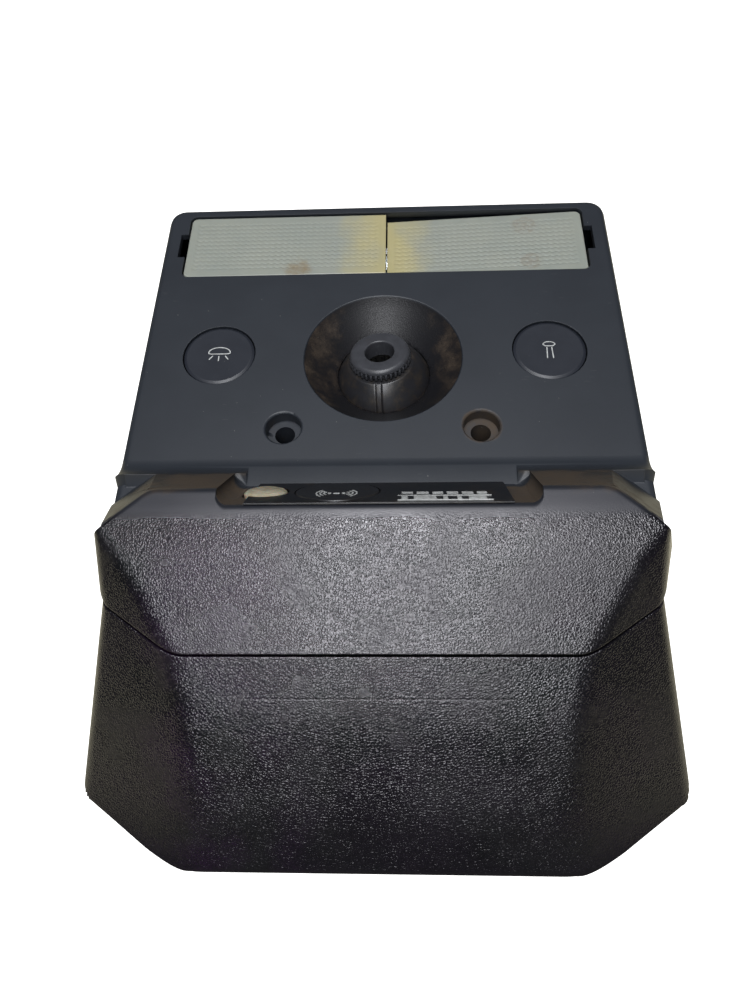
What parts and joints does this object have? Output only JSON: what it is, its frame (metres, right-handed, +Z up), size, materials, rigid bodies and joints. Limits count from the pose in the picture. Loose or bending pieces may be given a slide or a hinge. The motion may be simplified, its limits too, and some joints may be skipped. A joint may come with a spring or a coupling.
{
  "type": "overhead console",
  "caption": "Car roof console with courtesy lamp, push buttons, adjustable spot lamp and an alarm control strip in its raised nose.",
  "frame": {"origin": "middle of the console's footprint, on the plane of its mounting rim", "axes": "+Z up out of the lamp face, +Y from the raised nose to the courtesy lamp, +X to the right seen from the nose"},
  "size_m": [0.1644, 0.217, 0.048],
  "materials": {
    "panel_plastic": "satin dark blue-grey moulding",
    "grained_plastic": "black moulding with a leather grain, half gloss",
    "black_plastic": "satin black moulding",
    "gloss_black": "smooth black",
    "lens_plastic": "pale translucent diffuser, yellowed round the bulb",
    "cream_plastic": "cream translucent",
    "white_plastic": "plain white",
    "bright_metal": "bright rolled",
    "brass": "spring brass",
    "steel": "zinc plated",
    "glass": "clear",
    "circuit_board": "green lacquer"
  },
  "bodies": {
    "housing": {"front_panel": "panel_plastic", "nose_cover": "grained_plastic", "nose_apron": "grained_plastic", "back_plate": "black_plastic", "lamp_box": "black_plastic", "bulb_reflector": "bright_metal", "bulb_clip_left": "brass", "bulb_clip_right": "brass", "dome_bulb_glass": "glass", "dome_bulb_cap_left": "bright_metal", "dome_bulb_cap_right": "bright_metal", "dome_bulb_filament": "steel", "dome_button_spring": "steel", "dome_switch": "black_plastic", "spot_button_spring": "steel", "spot_switch": "black_plastic", "spot_retainer": "black_plastic", "label_strip": "gloss_black", "sensor_switch": "black_plastic", "sensor_board": "circuit_board", "status_window": "cream_plastic", "status_led": "white_plastic", "alarm_board": "circuit_board", "alarm_relay": "white_plastic", "harness_socket": "white_plastic", "harness_socket_pins": "brass", "control_chip": "black_plastic", "timer_chip": "black_plastic", "driver_chip": "black_plastic", "capacitor_1": "black_plastic", "capacitor_2": "black_plastic", "capacitor_3": "black_plastic", "alarm_board_screw_1": "steel", "alarm_board_screw_2": "steel", "alarm_board_screw_3": "steel", "alarm_board_screw_4": "steel", "back_plate_screw_1": "steel", "back_plate_screw_2": "steel", "back_plate_screw_3": "steel", "back_plate_screw_4": "steel", "back_plate_screw_5": "steel", "back_plate_screw_6": "steel", "back_plate_screw_7": "steel", "back_plate_screw_8": "steel"},
    "dome_button": {"dome_button": "panel_plastic"},
    "spot_button": {"spot_button": "panel_plastic"},
    "sensor_button": {"sensor_button": "gloss_black"},
    "lens_left": {"lens_left": "lens_plastic"},
    "lens_right": {"lens_right": "lens_plastic"},
    "spot_ring": {"spot_seat_ring": "black_plastic"},
    "spot_lamp": {"spot_ball": "black_plastic", "spot_knob": "panel_plastic", "spot_bulb": "glass", "spot_bulb_holder": "white_plastic"}
  },
  "joints": [
    {"name": "dome_button_press", "type": "slide", "parent": "housing", "child": "dome_button", "axis": [0, 0, -1], "range_m": [0, 0.003], "stiffness_N_per_m": 400, "springref_m": -0.003, "deforming": ["dome_button_spring"]},
    {"name": "spot_button_press", "type": "slide", "parent": "housing", "child": "spot_button", "axis": [0, 0, -1], "range_m": [0, 0.003], "stiffness_N_per_m": 400, "springref_m": -0.003, "deforming": ["spot_button_spring"]},
    {"name": "sensor_button_press", "type": "slide", "parent": "housing", "child": "sensor_button", "axis": [0, -0.7547, -0.6561], "range_m": [0, 0.002], "stiffness_N_per_m": 600, "springref_m": -0.002},
    {"name": "spot_pan", "type": "hinge", "parent": "housing", "child": "spot_ring", "pos_m": [0, 0.0387, 0.011], "axis": [0, 0, 1], "range_deg": [-170, 170]},
    {"name": "spot_tilt", "type": "hinge", "parent": "spot_ring", "child": "spot_lamp", "pos_m": [0, 0.0387, 0.011], "axis": [0.8942, 0.4478, 0], "range_deg": [-18, 35]},
    {"name": "lens_left_lift", "type": "slide", "parent": "housing", "child": "lens_left", "axis": [0, 0, 1], "range_m": [0, 0.03]},
    {"name": "lens_right_lift", "type": "slide", "parent": "housing", "child": "lens_right", "axis": [0, 0, 1], "range_m": [0, 0.03]}
  ]
}
